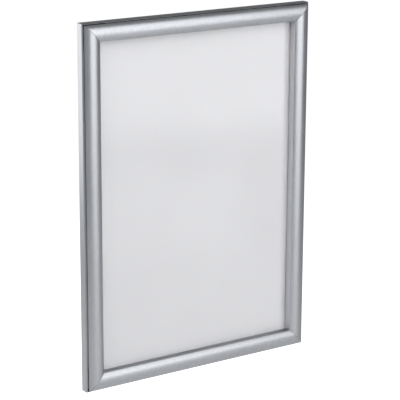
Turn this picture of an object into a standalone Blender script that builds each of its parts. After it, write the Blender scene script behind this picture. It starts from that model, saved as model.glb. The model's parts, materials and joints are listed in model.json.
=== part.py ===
# Snap poster frame for an A3 sheet: four mitred base rails that screw to a wall, and four domed
# cover rails that hinge on them and clamp a clear sheet, a poster and a backing panel.
# Metres, +Z up, front towards -Y. The origin is on the back of the top base rail, at mid length.
#
# A rail is drawn as a section in two lengths: "across" runs from the rail's outer edge towards the
# middle of the frame, and "out" runs from the wall towards the viewer.

import math

import bmesh
import bpy
from mathutils import Matrix, Vector

# Insert
POSTER_WIDTH = 0.297
POSTER_HEIGHT = 0.420
POSTER_THICKNESS = 0.00025
SHEET_THICKNESS = 0.0006
BACKING_THICKNESS = 0.0010
INSERT_CORNER = 0.0015

# Clearances
FIT_GAP = 0.0003                # between faces that touch
SIDE_GAP = 0.0003               # beside the insert in its pocket
MITRE_GAP = 0.0003              # square across each mitre
BEAD_GAP = 0.0002               # round the hinge bead in its socket
NECK_PLAY = 0.00015             # beside the neck at both ends of its travel
RELIEF_GAP = 0.0006             # along a rail, between the cover's heel and a bracket
CUT_OVERRUN = 0.005             # how far a cutter passes the face that it cuts
MERGE_DISTANCE = 0.000003       # points of a turned shape this near are one

# Rails
RAIL_WIDTH = 0.022
OPEN_ANGLE = 90.0               # a cover's travel, in degrees

# Base rail
WEB_THICKNESS = 0.0013
WEB_SETBACK = 0.0011            # the web ends this far behind the cover's lip
WALL_THICKNESS = 0.0013
BARREL_RADIUS = 0.0030
SOCKET_RADIUS = 0.00195
HINGE_RISE = 0.0095             # wall to hinge axis
BARREL_END_ANGLE = 130.0        # where the barrel stops, from the inward direction
RIB_THICKNESS = 0.0010
RIB_RISE = 0.0030               # above the web
HOOK_REACH = 0.0004
HOOK_THICKNESS = 0.0008

# Cover rail
CREST_RISE = 0.0176             # wall to the top of the dome
DOME_RADIUS = 0.016
COVER_EDGE_ANGLE = 104.0        # where the dome ends on the outside, from the inward direction
SHELL_THICKNESS = 0.0011
LIP_THICKNESS = 0.0010
LIP_DRAFT = 0.0002
NECK_THICKNESS = 0.0008
HEEL_THICKNESS = 0.0010
TOE_ANGLE = 9.0                 # how much of the heel's end the toe takes
TOE_REACH = 0.0010
FOOT_BACK_CUT = 7.0             # degrees, behind the hinge, so that the lips swing past each other

# Edge roundings
SMALL_ROUND = 0.0003
EDGE_ROUND = 0.0005
LIP_ROUND = 0.0007

# Leaf springs
SPRING_THICKNESS = 0.0004
SPRING_LENGTH = 0.044
SPRING_BOW = 0.0012
SPRING_PLACE_SHARE = 0.27       # from the rail's end to the spring's middle, of the rail's length

# Corner brackets
BRACKET_THICKNESS = 0.0016
BRACKET_LEG = 0.030
BRACKET_CORNER = 0.0020
BRACKET_HOLE_RADIUS = 0.0015
BRACKET_HOLE_SETBACK = 0.006    # from the end of a leg

# Screw holes
SCREW_RADIUS = 0.00225
SCREW_HEAD_RADIUS = 0.0032
SCREW_WALL_ROOM = 0.0024        # beside the head, to the wall
SCREW_RIB_ROOM = 0.0006         # beside the head, to the rib
SCREW_LAND = 0.0004             # straight part of the hole, next to the wall
SCREW_SETBACK = 0.045           # from the frame's corner

# Steps of the curves
CIRCLE_STEPS = 28
DOME_STEPS = 110                # for a full circle; the dome is about a fifth of one
UNDERSIDE_STEPS = 70
ROUND_STEPS = 3
SPRING_STEPS = 10
SHARP_ANGLE = 32.0              # degrees; a sharper edge isn't shaded smooth

# Worked out from the sizes above
SCREW_ACROSS = WALL_THICKNESS + SCREW_WALL_ROOM + SCREW_HEAD_RADIUS
RIB_OUTER = SCREW_ACROSS + SCREW_HEAD_RADIUS + SCREW_RIB_ROOM
RIB_INNER = RIB_OUTER + RIB_THICKNESS
POCKET_EDGE = RIB_INNER + SIDE_GAP          # the insert reaches out to here
WEB_END = RAIL_WIDTH - WEB_SETBACK

FRAME_WIDTH = POSTER_WIDTH + 2 * POCKET_EDGE
FRAME_HEIGHT = POSTER_HEIGHT + 2 * POCKET_EDGE
BACK_MIDDLE = RAIL_WIDTH / 2                # the origin's distance from the top edge
HINGE = (BARREL_RADIUS, HINGE_RISE)

BACKING_BACK = WEB_THICKNESS + FIT_GAP
POSTER_BACK = BACKING_BACK + BACKING_THICKNESS + FIT_GAP
SHEET_BACK = POSTER_BACK + POSTER_THICKNESS + FIT_GAP
LIP_FOOT = SHEET_BACK + SHEET_THICKNESS + FIT_GAP

BEAD_RADIUS = SOCKET_RADIUS - BEAD_GAP
HEEL_INNER_RADIUS = BARREL_RADIUS + FIT_GAP
HEEL_OUTER_RADIUS = HEEL_INNER_RADIUS + HEEL_THICKNESS
TOE_RADIUS = HEEL_OUTER_RADIUS + TOE_REACH
HEEL_END_ANGLE = -min(math.degrees(math.acos((WALL_THICKNESS + FIT_GAP - HINGE[0]) / radius))
                      for radius in (HEEL_INNER_RADIUS, TOE_RADIUS))     # clear of the wall
TOE_TOP_ANGLE = HEEL_END_ANGLE + TOE_ANGLE
BRACKET_NEAR = WALL_THICKNESS + FIT_GAP
BRACKET_FAR = RIB_OUTER - FIT_GAP
HEEL_RELIEF = BRACKET_NEAR + BRACKET_LEG + RELIEF_GAP   # heel and bead stop here

NECK_ROOM = math.degrees(math.asin((NECK_THICKNESS / 2 + NECK_PLAY) / SOCKET_RADIUS))
NECK_ANGLE = BARREL_END_ANGLE - OPEN_ANGLE - NECK_ROOM
SOCKET_END_ANGLE = NECK_ANGLE - NECK_ROOM

DOME_CENTRE = ((HINGE[0] + RAIL_WIDTH) / 2, CREST_RISE - DOME_RADIUS)
UNDERSIDE_RADIUS = DOME_RADIUS - SHELL_THICKNESS
MITRE_SHIFT = MITRE_GAP / math.sqrt(2)      # along the rail, for half the gap

ALUMINIUM = ("anodised_aluminium", (0.62, 0.63, 0.64), 0.32, 1.0)
SPRING_STEEL = ("spring_steel", (0.42, 0.42, 0.43), 0.30, 1.0)
PLATED_STEEL = ("plated_steel", (0.60, 0.60, 0.57), 0.40, 1.0)
BACKING_PLASTIC = ("backing_plastic", (0.80, 0.80, 0.79), 0.55, 0.0)
PAPER = ("poster_paper", (0.85, 0.85, 0.86), 0.60, 0.0)
CLEAR_PLASTIC = ("clear_plastic", (0.93, 0.94, 0.95), 0.12, 0.0)


# Section geometry

def polar(centre, radius, degrees):
    angle = math.radians(degrees)
    return (centre[0] + radius * math.cos(angle), centre[1] + radius * math.sin(angle))


def bearing(centre, point):
    return math.degrees(math.atan2(point[1] - centre[1], point[0] - centre[0]))


def arc(centre, radius, start, end, full_steps=CIRCLE_STEPS):
    """Points from start to end degrees, both included."""
    steps = max(2, round(full_steps * abs(end - start) / 360))
    return [polar(centre, radius, start + (end - start) * i / steps) for i in range(steps + 1)]


def circle_at(centre, radius, across):
    """The outer side of a circle at a distance across the rail."""
    return (across, centre[1] + math.sqrt(radius ** 2 - (across - centre[0]) ** 2))


def circle_below(centre, radius, across):
    """The wall side of a circle at a distance across the rail."""
    return (across, centre[1] - math.sqrt(radius ** 2 - (across - centre[0]) ** 2))


def ray_to_circle(start, degrees, centre, radius):
    """Where a ray that starts inside a circle leaves it."""
    direction = Vector((math.cos(math.radians(degrees)), math.sin(math.radians(degrees))))
    offset = Vector(start) - Vector(centre)
    along = offset.dot(direction)
    reach = -along + math.sqrt(along ** 2 - offset.length_squared + radius ** 2)
    return tuple(Vector(start) + reach * direction)


def circles_meet(centre_a, radius_a, centre_b, radius_b):
    """The crossing of two circles that lies furthest out from the wall."""
    a, b = Vector(centre_a), Vector(centre_b)
    apart = (b - a).length
    along = (apart ** 2 + radius_a ** 2 - radius_b ** 2) / (2 * apart)
    aside = math.sqrt(radius_a ** 2 - along ** 2)
    direction = (b - a).normalized()
    normal = Vector((-direction.y, direction.x))
    crossings = [a + along * direction + side * aside * normal for side in (-1, 1)]
    return tuple(max(crossings, key=lambda point: point.y))


def rounded(corners):
    """Close an outline of (point, radius) corners, with an arc at each radius over zero."""
    points = []
    for index, (corner, radius) in enumerate(corners):
        here = Vector(corner)
        if radius == 0:
            points.append(here)
            continue
        before = Vector(corners[index - 1][0]) - here
        after = Vector(corners[(index + 1) % len(corners)][0]) - here
        half = before.angle(after) / 2
        setback = min(radius / math.tan(half), before.length / 2, after.length / 2)
        start = here + before.normalized() * setback
        end = here + after.normalized() * setback
        centre = here + (before.normalized() + after.normalized()).normalized() * (
            setback / math.cos(half))
        first, last = start - centre, end - centre
        turn = first.angle_signed(last)
        for step in range(ROUND_STEPS + 1):
            spun = Matrix.Rotation(-turn * step / ROUND_STEPS, 2) @ first
            points.append(centre + spun)
    return [(point.x, point.y) for point in points]


def sharp(points):
    return [(point, 0) for point in points]


def base_section():
    """Web, rib and outer wall, with the open barrel that holds the cover's bead along its top."""
    wall_top = bearing(HINGE, circle_below(HINGE, BARREL_RADIUS, WALL_THICKNESS)) + 360
    rib_top = WEB_THICKNESS + RIB_RISE
    hook = RIB_OUTER - HOOK_REACH
    corners = [
        ((0, 0), SMALL_ROUND),
        ((WEB_END, 0), SMALL_ROUND),
        ((WEB_END, WEB_THICKNESS), EDGE_ROUND),
        ((RIB_INNER, WEB_THICKNESS), SMALL_ROUND),
        ((RIB_INNER, rib_top), SMALL_ROUND),
        ((hook, rib_top), SMALL_ROUND),
        ((hook, rib_top - HOOK_THICKNESS), 0),
        ((RIB_OUTER, rib_top - HOOK_THICKNESS), 0),
        ((RIB_OUTER, WEB_THICKNESS), 0),
        ((WALL_THICKNESS, WEB_THICKNESS), EDGE_ROUND),
    ]
    corners += sharp(arc(HINGE, BARREL_RADIUS, wall_top, SOCKET_END_ANGLE + 360))
    corners += sharp(arc(HINGE, SOCKET_RADIUS, SOCKET_END_ANGLE + 360, BARREL_END_ANGLE))
    corners += [(polar(HINGE, BARREL_RADIUS, BARREL_END_ANGLE), EDGE_ROUND)]
    corners += sharp(arc(HINGE, BARREL_RADIUS, BARREL_END_ANGLE, 180)[1:])
    return rounded(corners)


def cover_section():
    """Dome and lip, with the heel round the barrel and the bead on its neck inside it."""
    lip_top = circle_at(DOME_CENTRE, DOME_RADIUS, RAIL_WIDTH)
    edge_top = ray_to_circle(HINGE, COVER_EDGE_ANGLE, DOME_CENTRE, DOME_RADIUS)
    heel_top = circles_meet(HINGE, HEEL_OUTER_RADIUS, DOME_CENTRE, UNDERSIDE_RADIUS)
    lip_root = circle_at(DOME_CENTRE, UNDERSIDE_RADIUS, RAIL_WIDTH - LIP_THICKNESS)
    foot_inner = RAIL_WIDTH - LIP_DRAFT
    neck_at_heel = math.degrees(math.asin(NECK_THICKNESS / 2 / HEEL_INNER_RADIUS))
    neck_at_bead = math.degrees(math.asin(NECK_THICKNESS / 2 / BEAD_RADIUS))

    dome = arc(DOME_CENTRE, DOME_RADIUS, bearing(DOME_CENTRE, lip_top),
               bearing(DOME_CENTRE, edge_top), DOME_STEPS)
    underside = arc(DOME_CENTRE, UNDERSIDE_RADIUS, bearing(DOME_CENTRE, heel_top),
                    bearing(DOME_CENTRE, lip_root), UNDERSIDE_STEPS)

    corners = [((foot_inner, LIP_FOOT), SMALL_ROUND), (dome[0], LIP_ROUND)]
    corners += sharp(dome[1:-1])
    corners += [(dome[-1], EDGE_ROUND)]
    corners += sharp(arc(HINGE, HEEL_INNER_RADIUS, COVER_EDGE_ANGLE, NECK_ANGLE + neck_at_heel))
    corners += sharp(arc(HINGE, BEAD_RADIUS, NECK_ANGLE + neck_at_bead,
                         NECK_ANGLE - neck_at_bead + 360))
    corners += sharp(arc(HINGE, HEEL_INNER_RADIUS, NECK_ANGLE - neck_at_heel, HEEL_END_ANGLE))
    corners += [(polar(HINGE, TOE_RADIUS, HEEL_END_ANGLE), SMALL_ROUND),
                (polar(HINGE, TOE_RADIUS, TOE_TOP_ANGLE), SMALL_ROUND)]
    corners += sharp(arc(HINGE, HEEL_OUTER_RADIUS, TOE_TOP_ANGLE, bearing(HINGE, heel_top)))
    corners += sharp(underside[1:])
    corners += [((foot_inner - LIP_THICKNESS, LIP_FOOT), SMALL_ROUND)]
    return rounded(corners)


def spring_ends():
    """Middle of the spring's thickness at its base groove and at the cover's toe."""
    stand_off = FIT_GAP + SPRING_THICKNESS / 2
    foot = (RIB_OUTER - stand_off, WEB_THICKNESS + stand_off)
    radius = HEEL_OUTER_RADIUS + stand_off
    clear = math.degrees(math.asin(stand_off / radius))
    return foot, polar(HINGE, radius, TOE_TOP_ANGLE + clear)


def spring_section():
    foot, head = (Vector(point) for point in spring_ends())
    half_chord = (head - foot).length / 2
    radius = (half_chord ** 2 + SPRING_BOW ** 2) / (2 * SPRING_BOW)
    direction = (head - foot).normalized()
    outward = Vector((direction.y, -direction.x))
    centre = tuple((foot + head) / 2 - outward * (radius - SPRING_BOW))
    start, end = bearing(centre, foot), bearing(centre, head)
    steps = SPRING_STEPS * 360 / abs(end - start)
    outer = arc(centre, radius + SPRING_THICKNESS / 2, start, end, steps)
    inner = arc(centre, radius - SPRING_THICKNESS / 2, end, start, steps)
    return outer + inner


# Solids

def new_object(name, bm, parent=None):
    mesh = bpy.data.meshes.new(name)
    bmesh.ops.recalc_face_normals(bm, faces=bm.faces)
    bm.to_mesh(mesh)
    bm.free()
    thing = bpy.data.objects.new(name, mesh)
    bpy.context.scene.collection.objects.link(thing)
    thing.parent = parent
    return thing


def new_empty(name, matrix):
    empty = bpy.data.objects.new(name, None)
    bpy.context.scene.collection.objects.link(empty)
    empty.empty_display_size = RAIL_WIDTH
    empty.matrix_world = matrix
    return empty


def material(finish):
    name, colour, roughness, metallic = finish
    found = bpy.data.materials.get(name)
    if found:
        return found
    made = bpy.data.materials.new(name)
    made.use_nodes = True
    shader = made.node_tree.nodes["Principled BSDF"]
    shader.inputs["Base Color"].default_value = (*colour, 1.0)
    shader.inputs["Roughness"].default_value = roughness
    shader.inputs["Metallic"].default_value = metallic
    if finish is CLEAR_PLASTIC:
        shader.inputs["Transmission Weight"].default_value = 1.0
    return made


def finish_piece(thing, finish, smooth=True):
    thing.data.materials.append(material(finish))
    if smooth:
        thing.data.shade_smooth()
        thing.data.set_sharp_from_angle(angle=math.radians(SHARP_ANGLE))
    return thing


def cut(thing, cutter):
    cutter.hide_render = True
    cutter.display_type = "WIRE"
    boolean = thing.modifiers.new(cutter.name, "BOOLEAN")
    boolean.operation = "DIFFERENCE"
    boolean.solver = "EXACT"
    boolean.object = cutter


def swept(section, centre, half_length_at):
    """A bar along X through a section. half_length_at gives its half length at each corner."""
    bm = bmesh.new()
    ends = []
    for side in (-1, 1):
        ends.append([bm.verts.new((side * half_length_at(across, out), across - centre[0],
                                   out - centre[1])) for across, out in section])
    for index in range(len(section)):
        after = (index + 1) % len(section)
        bm.faces.new((ends[0][index], ends[0][after], ends[1][after], ends[1][index]))
    for ring in ends:
        bm.faces.new(ring)
    return bm


def mitred(length):
    return lambda across, out: length / 2 - across - MITRE_SHIFT


def box(name, low, high, parent):
    bm = bmesh.new()
    bmesh.ops.create_cube(bm, size=1)
    size = [b - a for a, b in zip(low, high)]
    middle = [(a + b) / 2 for a, b in zip(low, high)]
    bmesh.ops.scale(bm, vec=size, verts=bm.verts)
    bmesh.ops.translate(bm, vec=middle, verts=bm.verts)
    return new_object(name, bm, parent)


def turned(name, profile, parent, location):
    """A cutter or pin turned about its own Z axis from (radius, height) points."""
    bm = bmesh.new()
    ring = [bm.verts.new((radius, 0, height)) for radius, height in profile]
    edges = [bm.edges.new(pair) for pair in zip(ring, ring[1:])]
    bmesh.ops.spin(bm, geom=ring + edges, cent=(0, 0, 0), axis=(0, 0, 1),
                   angle=math.tau, steps=CIRCLE_STEPS, use_duplicate=False)
    bmesh.ops.remove_doubles(bm, verts=bm.verts, dist=MERGE_DISTANCE)
    thing = new_object(name, bm, parent)
    thing.location = location
    return thing


def plate(name, outline, low, high, parent):
    """An upright sheet: an outline in X and Z with its back at low and its front at high."""
    bm = bmesh.new()
    verts = [bm.verts.new((x, -low, z)) for x, z in outline]
    face = bm.faces.new(verts)
    made = bmesh.ops.extrude_face_region(bm, geom=[face])
    moved = [item for item in made["geom"] if isinstance(item, bmesh.types.BMVert)]
    bmesh.ops.translate(bm, vec=(0, low - high, 0), verts=moved)
    return new_object(name, bm, parent)


# Pieces

def base_rail(side, length, frame):
    bm = swept(base_section(), (0, 0), mitred(length))
    rail = new_object("base_rail_" + side, bm, frame)
    for end in (-1, 1):
        place = (end * (length / 2 - SCREW_SETBACK), SCREW_ACROSS, 0)
        profile = [
            (0, -CUT_OVERRUN),
            (SCREW_RADIUS, -CUT_OVERRUN),
            (SCREW_RADIUS, SCREW_LAND),
            (SCREW_HEAD_RADIUS, WEB_THICKNESS),
            (SCREW_HEAD_RADIUS, HINGE_RISE),
            (0, HINGE_RISE),
        ]
        name = "screw_cut_" + side + "_" + ("a" if end < 0 else "b")
        cut(rail, turned(name, profile, frame, place))
    return finish_piece(rail, ALUMINIUM)


def cover_rail(side, length, hinge):
    bm = swept(cover_section(), HINGE, mitred(length))
    rail = new_object("cover_rail_" + side, bm, hinge)
    for end in (-1, 1):
        label = side + "_" + ("a" if end < 0 else "b")
        reach = (end * (length / 2 - HEEL_RELIEF), end * (length / 2 + CUT_OVERRUN))
        low = (min(reach), -HINGE[0], -HINGE[1])
        high = (max(reach), HEEL_OUTER_RADIUS + TOE_REACH, BEAD_RADIUS + NECK_PLAY)
        cut(rail, box("relief_cut_" + label, low, high, hinge))
        cut(rail, back_cut(label, end, length, hinge))
    return finish_piece(rail, ALUMINIUM)


def back_cut(label, end, length, hinge):
    """A wedge that opens the mitre behind the hinge axis."""
    slope = math.tan(math.radians(FOOT_BACK_CUT))
    depth = HINGE_RISE
    outer, inner = -HINGE[0] - CUT_OVERRUN, RAIL_WIDTH - HINGE[0] + CUT_OVERRUN
    bm = bmesh.new()
    rings = []
    for across in (outer, inner):
        tip = length / 2 - (across + HINGE[0]) - MITRE_SHIFT
        section = [(tip, 0), (tip - depth * slope, -depth), (length, -depth), (length, 0)]
        rings.append([bm.verts.new((end * x, across, out)) for x, out in section])
    for index in range(4):
        after = (index + 1) % 4
        bm.faces.new((rings[0][index], rings[0][after], rings[1][after], rings[1][index]))
    for ring in rings:
        bm.faces.new(ring)
    return new_object("back_cut_" + label, bm, hinge)


def leaf_springs(side, length, frame):
    for name, end in (("a", -1), ("b", 1)):
        middle = end * (length / 2 - length * SPRING_PLACE_SHARE)
        half = SPRING_LENGTH / 2
        bm = swept(spring_section(), (0, 0), lambda across, out: half)
        spring = new_object("leaf_spring_" + side + "_" + name, bm, frame)
        spring.location = (middle, 0, 0)
        finish_piece(spring, SPRING_STEEL)


def corner_bracket(name, turn_x, turn_z):
    """A flat angle that lies in the channels of two base rails."""
    near, far = BRACKET_NEAR, BRACKET_FAR
    corners = [
        ((near, near), BRACKET_CORNER),
        ((near + BRACKET_LEG, near), EDGE_ROUND),
        ((near + BRACKET_LEG, far), EDGE_ROUND),
        ((far, far), EDGE_ROUND),
        ((far, near + BRACKET_LEG), EDGE_ROUND),
        ((near, near + BRACKET_LEG), EDGE_ROUND),
    ]
    x_edge, z_edge = FRAME_WIDTH / 2, BACK_MIDDLE
    z_middle = BACK_MIDDLE - FRAME_HEIGHT / 2

    def place(x, z):
        return (turn_x * (x_edge - x), z_middle + turn_z * (z_edge - z_middle - z))

    outline = [place(x, z) for x, z in rounded(corners)]
    low = WEB_THICKNESS + FIT_GAP
    bracket = plate(name, outline, low, low + BRACKET_THICKNESS, None)
    end = near + BRACKET_LEG - BRACKET_HOLE_SETBACK
    middle = (near + far) / 2
    for label, hole in (("x", (end, middle)), ("z", (middle, end))):
        x, z = place(*hole)
        profile = [
            (0, -CUT_OVERRUN),
            (BRACKET_HOLE_RADIUS, -CUT_OVERRUN),
            (BRACKET_HOLE_RADIUS, CUT_OVERRUN),
            (0, CUT_OVERRUN),
        ]
        pin = turned("bracket_cut_" + name + "_" + label, profile, None, (x, -low, z))
        pin.rotation_euler = (math.radians(90), 0, 0)
        cut(bracket, pin)
    return finish_piece(bracket, PLATED_STEEL, smooth=False)


def insert(name, low, thickness, finish):
    """One sheet of the stack that the covers clamp."""
    half = POSTER_WIDTH / 2
    top = BACK_MIDDLE - POCKET_EDGE
    bottom = top - POSTER_HEIGHT
    places = [(-half, bottom), (half, bottom), (half, top), (-half, top)]
    outline = rounded([(place, INSERT_CORNER) for place in places])
    sheet = plate(name, outline, low, low + thickness, None)
    return finish_piece(sheet, finish, smooth=False)


def side_frames():
    """The place of each rail: X along it, Y towards the frame's middle, Z out from the wall."""
    middle = BACK_MIDDLE - FRAME_HEIGHT / 2
    outward = Vector((0, -1, 0))
    places = {
        "top": (FRAME_WIDTH, (0, 0, BACK_MIDDLE), (0, 0, -1)),
        "bottom": (FRAME_WIDTH, (0, 0, BACK_MIDDLE - FRAME_HEIGHT), (0, 0, 1)),
        "left": (FRAME_HEIGHT, (-FRAME_WIDTH / 2, 0, middle), (1, 0, 0)),
        "right": (FRAME_HEIGHT, (FRAME_WIDTH / 2, 0, middle), (-1, 0, 0)),
    }
    for side, (length, location, inward) in places.items():
        inward = Vector(inward)
        turn = Matrix((inward.cross(outward), inward, outward)).transposed().to_4x4()
        yield side, length, Matrix.Translation(location) @ turn


def build():
    for old in list(bpy.data.objects):
        bpy.data.objects.remove(old, do_unlink=True)
    for side, length, place in side_frames():
        frame = new_empty("place_" + side, place)
        hinge = new_empty("hinge_" + side, place @ Matrix.Translation((0, *HINGE)))
        base_rail(side, length, frame)
        cover_rail(side, length, hinge)
        leaf_springs(side, length, frame)
    for name, turn_x, turn_z in (("top_left", -1, 1), ("top_right", 1, 1),
                                 ("bottom_left", -1, -1), ("bottom_right", 1, -1)):
        corner_bracket("corner_bracket_" + name, turn_x, turn_z)
    insert("backing_panel", BACKING_BACK, BACKING_THICKNESS, BACKING_PLASTIC)
    insert("poster", POSTER_BACK, POSTER_THICKNESS, PAPER)
    insert("clear_sheet", SHEET_BACK, SHEET_THICKNESS, CLEAR_PLASTIC)
    bpy.context.view_layer.update()


build()
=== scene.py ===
# Looks for an A3 snap poster frame: finely drawn extrusions, springs and corner angles round the
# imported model, a finish for every surface, a soft studio and the camera.

import json
import math

import bmesh
import bpy
from mathutils import Matrix, Vector


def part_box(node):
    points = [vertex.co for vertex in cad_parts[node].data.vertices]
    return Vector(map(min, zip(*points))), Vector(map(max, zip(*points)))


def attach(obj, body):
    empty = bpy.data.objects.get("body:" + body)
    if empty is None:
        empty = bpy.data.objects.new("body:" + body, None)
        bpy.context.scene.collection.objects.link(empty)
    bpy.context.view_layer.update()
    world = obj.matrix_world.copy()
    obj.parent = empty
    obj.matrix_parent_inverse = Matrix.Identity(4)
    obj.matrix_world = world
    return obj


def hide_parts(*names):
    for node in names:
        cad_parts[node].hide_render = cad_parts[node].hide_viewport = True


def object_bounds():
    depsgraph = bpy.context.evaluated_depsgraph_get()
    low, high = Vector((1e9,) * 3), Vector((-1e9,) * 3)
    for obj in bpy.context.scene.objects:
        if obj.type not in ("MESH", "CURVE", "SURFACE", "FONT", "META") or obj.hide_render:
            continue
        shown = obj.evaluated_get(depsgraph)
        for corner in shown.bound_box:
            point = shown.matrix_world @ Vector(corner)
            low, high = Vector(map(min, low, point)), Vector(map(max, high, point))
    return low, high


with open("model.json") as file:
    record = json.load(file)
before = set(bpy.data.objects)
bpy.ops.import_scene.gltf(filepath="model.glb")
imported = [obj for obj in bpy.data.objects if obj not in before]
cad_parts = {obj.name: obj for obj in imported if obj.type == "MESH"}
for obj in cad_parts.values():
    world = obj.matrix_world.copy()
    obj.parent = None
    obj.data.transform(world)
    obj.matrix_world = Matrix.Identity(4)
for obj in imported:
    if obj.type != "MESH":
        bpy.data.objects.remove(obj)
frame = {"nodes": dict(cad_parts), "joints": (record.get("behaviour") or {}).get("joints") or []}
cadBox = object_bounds()
nodes = frame["nodes"]
hinges = {joint["child"]: Vector(joint["pos_m"]) for joint in frame["joints"]}
print("frame loaded:", len(nodes), "nodes")

mm = 0.001


# Helpers for node trees

def socketOf(sockets, name):
    for socket in sockets:
        if socket.identifier == name:
            return socket
    return sockets[name]


def addNode(tree, kind, inputs=None, **settings):
    made = tree.nodes.new(kind)
    for name, value in settings.items():
        setattr(made, name, value)
    for name, value in (inputs or {}).items():
        for one in value if isinstance(value, list) else [value]:
            socket = socketOf(made.inputs, name)
            if isinstance(one, bpy.types.NodeSocket):
                tree.links.new(one, socket)
            else:
                socket.default_value = one
    return made


def calc(tree, operation, a, b=0.0):
    made = addNode(tree, "ShaderNodeMath", {"Value": a, "Value_001": b}, operation=operation)
    return made.outputs[0]


def noise(tree, place, scale, detail, **more):
    inputs = {"Vector": place, "Scale": scale, "Detail": detail, **more}
    return addNode(tree, "ShaderNodeTexNoise", inputs).outputs["Fac"]


def newTree(name, kind, inputs, outputs):
    tree = bpy.data.node_groups.new(name, kind)
    for socketName, socketKind in inputs.items():
        tree.interface.new_socket(name=socketName, in_out="INPUT", socket_type=socketKind)
    for socketName, socketKind in outputs.items():
        tree.interface.new_socket(name=socketName, in_out="OUTPUT", socket_type=socketKind)
    return tree, tree.nodes.new("NodeGroupInput").outputs, tree.nodes.new("NodeGroupOutput").inputs


# Sizes of the two extrusions, drawn across the rail from its outer edge and out from the wall

rail = {
    "width": 22 * mm,
    "mitreGap": 0.3 * mm,
    "sawEdge": 0.10 * mm,           # broken edge round each saw cut
    "sawnFacing": 0.4,              # a face that looks this far along the rail counts as sawn
    "weld": 0.001 * mm,
    "overrun": 5 * mm,              # cutters go this far past the metal
    "drillSides": 48,
}

baseProfile = {
    "web": 1.3 * mm,
    "webEnd": 20.9 * mm,
    "wall": 1.3 * mm,
    "barrelRadius": 3.0 * mm,
    "socketRadius": 1.95 * mm,
    "hingeRise": -hinges["top_cover"].y,
    "barrelStop": 130,              # degrees from the inward direction
    "ribOutside": 10.7 * mm,
    "rib": 1.0 * mm,
    "ribRise": 3.0 * mm,
    "hookReach": 0.4 * mm,
    "hook": 0.8 * mm,
    "plainRound": 0.3 * mm,
    "webRound": 0.5 * mm,
    "noseRound": 0.1 * mm,
    "hookRound": 0.2 * mm,
    "grooveRound": 0.4 * mm,
    "wallRound": 0.5 * mm,
    "mouthRound": 0.25 * mm,
}

coverProfile = {
    "crest": -cadBox[0].y,
    "domeRadius": 16 * mm,
    "edge": 104,                    # degrees from the inward direction, where the dome ends
    "shell": 1.1 * mm,
    "lip": 1.0 * mm,
    "lipDraft": 0.2 * mm,
    "beadRadius": 1.75 * mm,
    "neck": 0.8 * mm,
    "neckPlay": 0.15 * mm,
    "heelInside": 3.3 * mm,
    "heelOutside": 4.3 * mm,
    "toeReach": 1.0 * mm,
    "toeSpan": 9,                   # degrees
    "travel": 90,                   # degrees
    "relief": 32.2 * mm,            # heel and bead stop this far from the frame's corner
    "backCut": 7,                   # degrees taken off the mitre behind the hinge
    "footRise": 0.3 * mm,           # over the clear sheet
    "plainRound": 0.3 * mm,
    "lipRound": 0.7 * mm,
    "outerRound": 0.5 * mm,
    "domeStep": 1.5,                # degrees between the points of an arc
    "underStep": 3.0,
}

hingePoint = (baseProfile["barrelRadius"], baseProfile["hingeRise"])
sheetFront = -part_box("clear_sheet")[0].y


# Outlines: arcs and rounded corners

def polar(centre, radius, degrees):
    angle = math.radians(degrees)
    return (centre[0] + radius * math.cos(angle), centre[1] + radius * math.sin(angle))


def bearing(centre, point):
    return math.degrees(math.atan2(point[1] - centre[1], point[0] - centre[0]))


def arc(centre, radius, start, end, step=6.0):
    count = max(2, math.ceil(abs(end - start) / step))
    return [polar(centre, radius, start + (end - start) * i / count) for i in range(count + 1)]


def sharp(points):
    return [(point, 0) for point in points]


def rounded(corners, steps=5):
    # corners are (point, radius) pairs
    points = []
    for index, (corner, radius) in enumerate(corners):
        here = Vector(corner)
        if not radius:
            points.append(tuple(here))
            continue
        before = Vector(corners[index - 1][0]) - here
        after = Vector(corners[(index + 1) % len(corners)][0]) - here
        half = before.angle(after) / 2
        setback = min(radius / math.tan(half), before.length / 2, after.length / 2)
        start = here + before.normalized() * setback
        end = here + after.normalized() * setback
        middle = (before.normalized() + after.normalized()).normalized()
        centre = here + middle * (setback / math.cos(half))
        turn = (start - centre).angle_signed(end - centre)
        for step in range(steps + 1):
            points.append(tuple(centre + Matrix.Rotation(-turn * step / steps, 2) @ (start - centre)))
    return points


def circlesMeet(centreA, radiusA, centreB, radiusB):
    # the crossing that lies furthest out from the wall
    a, b = Vector(centreA), Vector(centreB)
    apart = (b - a).length
    along = (apart ** 2 + radiusA ** 2 - radiusB ** 2) / (2 * apart)
    aside = math.sqrt(radiusA ** 2 - along ** 2)
    direction = (b - a).normalized()
    normal = Vector((-direction.y, direction.x))
    crossings = [a + along * direction + side * aside * normal for side in (-1, 1)]
    return tuple(max(crossings, key=lambda point: point.y))


def rayToCircle(start, degrees, centre, radius):
    angle = math.radians(degrees)
    direction = Vector((math.cos(angle), math.sin(angle)))
    offset = Vector(start) - Vector(centre)
    along = offset.dot(direction)
    reach = -along + math.sqrt(along ** 2 - offset.length_squared + radius ** 2)
    return tuple(Vector(start) + reach * direction)


def heelAngles():
    # where the heel ends beside the wall, and where its toe begins
    p = coverProfile
    room = baseProfile["wall"] + p["footRise"] - hingePoint[0]
    end = -min(math.degrees(math.acos(room / radius))
               for radius in (p["heelInside"], p["heelOutside"] + p["toeReach"]))
    return end, end + p["toeSpan"]


def neckAngles():
    # the neck's direction, and the room it needs either side in the socket's mouth
    half = coverProfile["neck"] / 2 + coverProfile["neckPlay"]
    room = math.degrees(math.asin(half / baseProfile["socketRadius"]))
    return baseProfile["barrelStop"] - coverProfile["travel"] - room, room


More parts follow.
